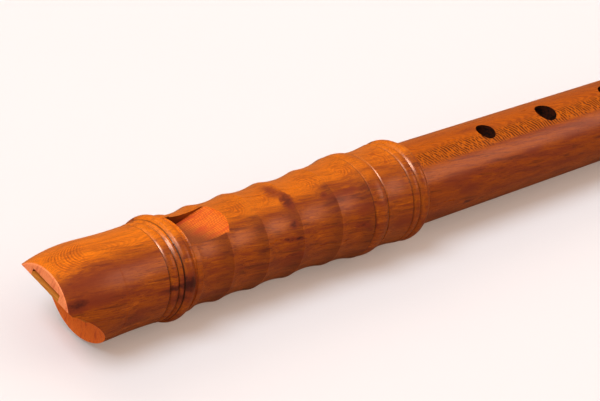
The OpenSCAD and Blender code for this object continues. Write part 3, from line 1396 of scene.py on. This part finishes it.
@dataclass
class Body:
    """The body joint: tenon, tube, finger holes, thumb hole and turned foot in one piece.

    Attributes:
        tube_r: Tube radius next to the head.
        tube_end_r: Tube radius where the foot begins.
        tenon_l: Length of the tenon.
        collar_r: Radius of the tenon's collars.
        groove_r: Radius in the cork's groove.
        collar_w: Width of a collar.
        bore_top_r: Bore radius at the tenon.
        bore_foot_r: Bore radius at the foot.
        bore_foot_l: Length of the plain bore in the foot.
        foot_l: Length of the foot.
    """

    tube_r: float = 10.8
    tube_end_r: float = 9.85
    tenon_l: float = 22.0
    collar_r: float = 9.04
    groove_r: float = 8.04
    collar_w: float = 3.0
    bore_top_r: float = 6.8
    bore_foot_r: float = 5.4
    bore_foot_l: float = 18.0
    foot_l: float = 27.0
    wood: Fruitwood = Fruitwood(
        "body_fruitwood",
        Wood.BODY,
        BODY_KNOTS,
        BODY_GROOVES,
        tone(196, 92, 1),
        tone(150, 60, 1),
        tone(162, 72, 8),
        lit_band_half=44.0,
        line=0.6,
        fleck=1.0,
    )
    bore: OiledBore = OiledBore()

    def outside(self) -> Template:
        """The outline from the tenon's end to the foot's end.

        Returns:
            The template.
        """
        start, foot = HEAD_L - self.tenon_l, TOTAL_L - self.foot_l
        template = Template([(start, self.collar_r - 0.25), (start + 0.3, self.collar_r)])
        template.to((start + self.collar_w, self.collar_r), (start + self.collar_w, self.groove_r))
        template.to((HEAD_L - self.collar_w, self.groove_r), (HEAD_L - self.collar_w, self.collar_r))
        template.to((HEAD_L, self.collar_r), (HEAD_L, self.tube_r), (foot, self.tube_end_r))
        template.to((foot, 10.55), (foot + 1.1, 10.55), (foot + 1.1, 10.2))
        template.bowed(foot + 12.4, 12.6, -0.95).vee(foot + 13.4, 12.6, 12.05)
        template.bowed(foot + 17.6, 12.6, 0.5).vee(foot + 18.6, 12.5, 12.05)
        template.bowed(TOTAL_L - 2.2, 12.3, -0.35).bowed(TOTAL_L, 11.5, 0.2)
        return template

    def build(self) -> Piece:
        """The turned, bored and drilled body.

        Returns:
            The piece.
        """
        start = HEAD_L - self.tenon_l
        outline = self.outside().outline()
        inside = [
            (TOTAL_L, self.bore_foot_r),
            (TOTAL_L - self.bore_foot_l, self.bore_foot_r),
            (start, self.bore_top_r),
        ]
        outline += [Vector(s) for s in inside]
        body = spin("body_wood", outline, SIDES)
        for bit in self.bits():
            joined_by(body, bit, "DIFFERENCE")
        return body

    def bits(self) -> list[Piece]:
        """The drill bits for seven finger holes and the thumb hole.

        Returns:
            The bits.
        """
        singles = [(148.7, 2.75), (172.7, 3.1), (199.1, 3.1), (226.0, 2.9), (248.0, 2.9)]
        bits = [drill(f"bit_{i}", t, 0.25, r, 0) for i, (t, r) in enumerate(singles)]
        for t, turn in ((270.0, 0.0), (289.4, 14.0)):
            bits.append(drill("bit_wide", t, -2.2, 1.9, turn))
            bits.append(drill("bit_slim", t, 2.5, 1.5, turn))
        bits.append(drill("bit_thumb", 140.7, 0, 2.8, 0, down=True))
        return bits

    def dress(self, body: Piece) -> None:
        """Polished wood outside; oiled wood with painted shade in the bore and in the holes.

        Args:
            body: The piece.
        """
        dressed(body, (self.wood, self.bore))
        wall_r, holes_from, holes_to = 9.2, HEAD_L + 6, TOTAL_L - 26
        for face in body.data.polygons:
            t, y, z = seat(face)
            limit = wall_r if holes_from < t < holes_to else self.bore_top_r + 0.05
            face.material_index = int(math.hypot(y, z) < limit)


# ---------- the studio ----------


@dataclass
class Studio:
    """Floor, lights and camera.

    Attributes:
        lens: Focal length in mm on a 36 mm wide frame.
        eye: The camera's place in metres.
        right: The picture's right.
        up: The picture's up.
        back: From the object toward the camera.
    """

    lens: float = 180.0
    eye: Triple = (-0.574769, -0.330584, 0.441967)
    right: Triple = (0.69918, -0.64191, 0.31480)
    up: Triple = (0.22861, 0.61792, 0.75227)
    back: Triple = (-0.67741, -0.45400, 0.57878)

    def camera(self) -> None:
        """The camera over the beak's near side."""
        data = bpy.data.cameras.new("camera")
        data.lens, data.sensor_width, data.sensor_fit = self.lens, 36.0, "HORIZONTAL"
        data.clip_start, data.clip_end = 0.01, 50.0
        cam = bpy.data.objects.new("camera", data)
        turned = Matrix((self.right, self.up, self.back)).transposed().to_4x4()
        cam.matrix_world = Matrix.Translation(self.eye) @ turned
        bpy.context.scene.collection.objects.link(cam)
        bpy.context.scene.camera = cam

    def floor(self) -> None:
        """The pale floor that the rings rest on."""
        lay_aside()
        bpy.ops.mesh.primitive_plane_add(size=8.0, location=(0, 0, 0))
        floor = bpy.context.object
        floor.name = "floor"
        floor.data.materials.append(Paper().material())

    def soft_sun(
        self,
        name: str,
        toward: Triple,
        strength: float,
        spread: float,
        colour: Rgb,
        gloss: bool = False,
    ) -> None:
        """A broad, even light.

        Args:
            name: Name of the light.
            toward: Direction from the object to the light.
            strength: Its strength.
            spread: Its width across the sky in degrees.
            colour: Its colour.
            gloss: True for a light that only shows as a sheen on polished faces.
        """
        data = bpy.data.lights.new(name, "SUN")
        data.energy, data.angle, data.color = strength, math.radians(spread), colour
        lamp = bpy.data.objects.new(name, data)
        lamp.rotation_euler = Vector(toward).to_track_quat("Z", "Y").to_euler()
        lamp.visible_diffuse = not gloss
        bpy.context.scene.collection.objects.link(lamp)

    def lights(self) -> None:
        """A cool key over the beak, a warm fill from beyond the foot, and a warm surround."""
        over_beak, past_foot = (-0.62, 0.07, 0.78), (0.727, -0.367, 0.578)
        self.soft_sun("key", over_beak, 2.3, 26, (0.68, 0.85, 1.0))
        self.soft_sun("glint", over_beak, 4.5, 12, (1.0, 0.8, 0.72), gloss=True)
        self.soft_sun("fill", past_foot, 0.3, 28, (1.0, 0.66, 0.48))
        self.soft_sun("back", (-0.25, 0.72, 0.65), 0.58, 34, (1.0, 0.84, 0.7))
        self.soft_sun("sheen", past_foot, 0.4, 26, (1.0, 0.72, 0.6), gloss=True)
        world = bpy.data.worlds.new("surround")
        world.use_nodes = True
        n = Nodes(world.node_tree)
        up = n.split(n.add("ShaderNodeTexCoord").outputs["Generated"])[2]
        glow = n.ease(up, 0.45, 0.9, 0.4, 0.93)
        hush = n.line(n.add("ShaderNodeLightPath").outputs["Is Glossy Ray"], -0.65, 1.0)
        sky = world.node_tree.nodes["Background"]
        n.feed(sky.inputs["Color"], (1.0, 0.79, 0.65))
        n.feed(sky.inputs["Strength"], n.times(glow, hush))
        scene = bpy.context.scene
        scene.world = world
        scene.view_settings.view_transform = "Standard"
        scene.view_settings.look = "None"


def hang(piece: Piece, node: str, body: str) -> None:
    """A finished piece takes its CAD node's place.

    Args:
        piece: The finished piece.
        node: The CAD node it stands for.
        body: The body it rides on.
    """
    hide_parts(node)
    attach(piece, body)
    low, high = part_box(node)
    faces, length = len(piece.data.polygons), (high - low).x / MM
    log.info("%s: %d faces for %s, %.1f mm long", piece.name, faces, node, length)


def main() -> None:
    """Builds, dresses and hangs every piece, then the studio."""
    logging.basicConfig(level=logging.INFO, format="%(name)s: %(message)s")
    makers = (
        (Head(), "head_joint", "head", "head_wood"),
        (Block(), "block", "block", "cedar"),
        (TenonCork(), "tenon_cork", "cork", "cork"),
        (Body(), "body_joint", "body", "body_wood"),
    )
    for maker, node, body, slot in makers:
        piece = maker.build()
        maker.dress(piece)
        hang(piece, node, body)
    studio = Studio()
    studio.camera()
    studio.floor()
    studio.lights()


if __name__ == "__main__":
    main()
